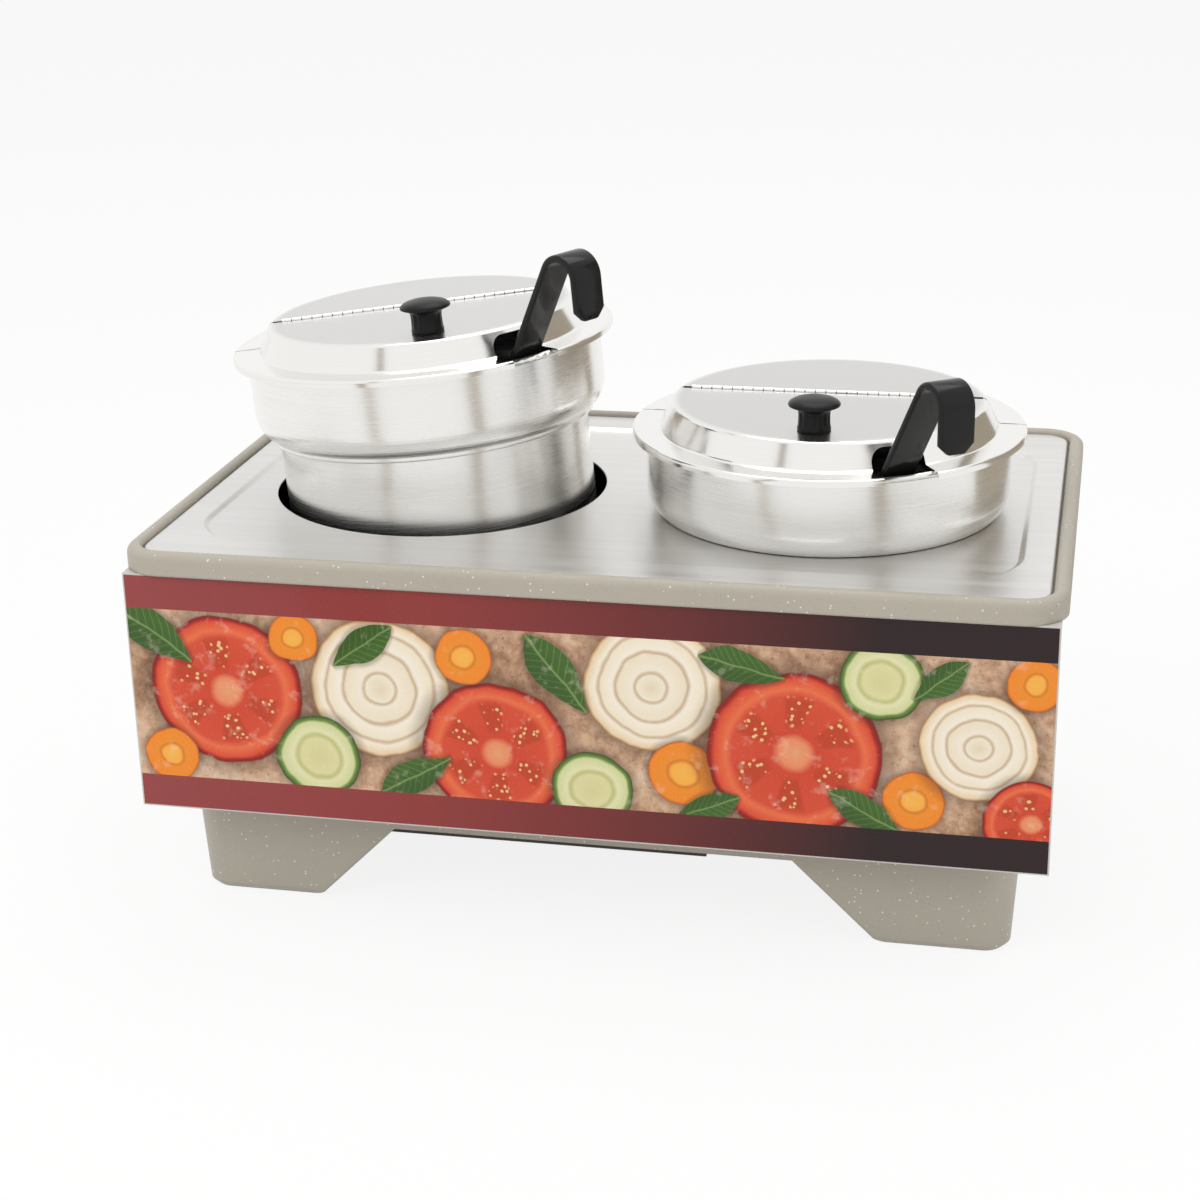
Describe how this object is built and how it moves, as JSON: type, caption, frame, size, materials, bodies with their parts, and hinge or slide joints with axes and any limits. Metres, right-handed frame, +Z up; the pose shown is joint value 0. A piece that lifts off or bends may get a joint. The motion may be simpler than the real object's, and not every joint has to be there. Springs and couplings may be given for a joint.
{
  "type": "soup station",
  "caption": "Countertop soup warmer: moulded base with a heated well, an adapter plate that carries lift-out soup insets with flip lids and ladles, and a printed front panel.",
  "frame": {"origin": "on the table surface under the middle of the base's rim", "axes": "+Z up, +X along the width to the right seen from the front, front panel towards -Y"},
  "size_m": [0.556, 0.348, 0.4048],
  "materials": {
    "resin": "speckled moulded resin",
    "coated_well": "dark non-stick coating",
    "galvanised": "galvanised",
    "heating_rod": "oxidised sheath",
    "box_paint": "dark brown paint",
    "fasteners": "zinc plated",
    "ceramic": "moulded",
    "copper": "plain",
    "black_plastic": "satin",
    "red_rocker": "gloss",
    "amber_lens": "clear amber",
    "panel_sheet": "satin",
    "printed_film": "gloss print",
    "rubber": "matte",
    "plate_steel": "satin brushed",
    "inset_steel": "brushed round the axis",
    "lid_steel": "polished",
    "hinge_steel": "bright",
    "knob_black": "satin gloss",
    "ladle_steel": "satin",
    "grip_black": "gloss"
  },
  "bodies": {
    "base": {"base_shell": "resin", "well_pan": "coated_well", "heat_shield": "galvanised", "heating_rod": "heating_rod", "rod_straps": "galvanised", "strap_nuts": "galvanised", "control_box": "box_paint", "box_screws": "fasteners", "thermostat": "ceramic", "thermostat_bulb": "copper", "switch_housing": "black_plastic", "pilot_lamp": "amber_lens", "cord_gland": "black_plastic", "gland_nut": "black_plastic", "terminal_block": "ceramic", "front_panel": "panel_sheet", "panel_film": "printed_film", "panel_screws": "fasteners", "panel_bumpers": "rubber"},
    "thermostat_dial": {"thermostat_dial": "black_plastic"},
    "switch_rocker": {"switch_rocker": "red_rocker"},
    "plate": {"adapter_plate": "plate_steel"},
    "left_inset": {"left_inset": "inset_steel"},
    "left_lid": {"left_lid_rear": "lid_steel", "left_hinge_rear": "hinge_steel", "left_hinge_pin": "hinge_steel"},
    "left_flap": {"left_lid_front": "lid_steel", "left_hinge_front": "hinge_steel", "left_lid_knob": "knob_black", "left_knob_screw": "hinge_steel"},
    "left_ladle": {"left_ladle_bowl": "ladle_steel", "left_ladle_strip": "ladle_steel", "left_ladle_grip": "grip_black"},
    "right_inset": {"right_inset": "inset_steel"},
    "right_lid": {"right_lid_rear": "lid_steel", "right_hinge_rear": "hinge_steel", "right_hinge_pin": "hinge_steel"},
    "right_flap": {"right_lid_front": "lid_steel", "right_hinge_front": "hinge_steel", "right_lid_knob": "knob_black", "right_knob_screw": "hinge_steel"},
    "right_ladle": {"right_ladle_bowl": "ladle_steel", "right_ladle_strip": "ladle_steel", "right_ladle_grip": "grip_black"}
  },
  "joints": [
    {"name": "plate_lift", "type": "slide", "parent": "base", "child": "plate", "axis": [0, 0, 1], "range_m": [0, 0.16]},
    {"name": "thermostat_turn", "type": "hinge", "parent": "base", "child": "thermostat_dial", "pos_m": [-0.04, 0.08, 0.036], "axis": [0, 1, 0], "range_deg": [0, 270]},
    {"name": "switch_rock", "type": "hinge", "parent": "base", "child": "switch_rocker", "pos_m": [0.006, 0.079, 0.036], "axis": [0, 0, 1], "range_deg": [-8, 8]},
    {"name": "left_inset_lift", "type": "slide", "parent": "plate", "child": "left_inset", "axis": [-0.0802, 0, 0.9968], "range_m": [-0.0335, 0.12]},
    {"name": "left_lid_lift", "type": "slide", "parent": "left_inset", "child": "left_lid", "axis": [-0.0802, 0, 0.9968], "range_m": [0, 0.08]},
    {"name": "left_flap_hinge", "type": "hinge", "parent": "left_lid", "child": "left_flap", "pos_m": [-0.1409, 0.01825, 0.34577], "axis": [-0.9337, -0.3502, -0.0751], "range_deg": [0, 165]},
    {"name": "left_ladle_draw", "type": "slide", "parent": "left_inset", "child": "left_ladle", "axis": [0.3828, -0.2934, 0.876], "range_m": [0, 0.08]},
    {"name": "right_inset_lift", "type": "slide", "parent": "plate", "child": "right_inset", "axis": [0, 0, 1], "range_m": [0, 0.165]},
    {"name": "right_lid_lift", "type": "slide", "parent": "right_inset", "child": "right_lid", "axis": [0, 0, 1], "range_m": [0, 0.08]},
    {"name": "right_flap_hinge", "type": "hinge", "parent": "right_lid", "child": "right_flap", "pos_m": [0.1245, 0.013, 0.2995], "axis": [-1, 0, 0], "range_deg": [0, 165]},
    {"name": "right_ladle_draw", "type": "slide", "parent": "right_inset", "child": "right_ladle", "axis": [0.3205, -0.4331, 0.8425], "range_m": [0, 0.08]}
  ]
}
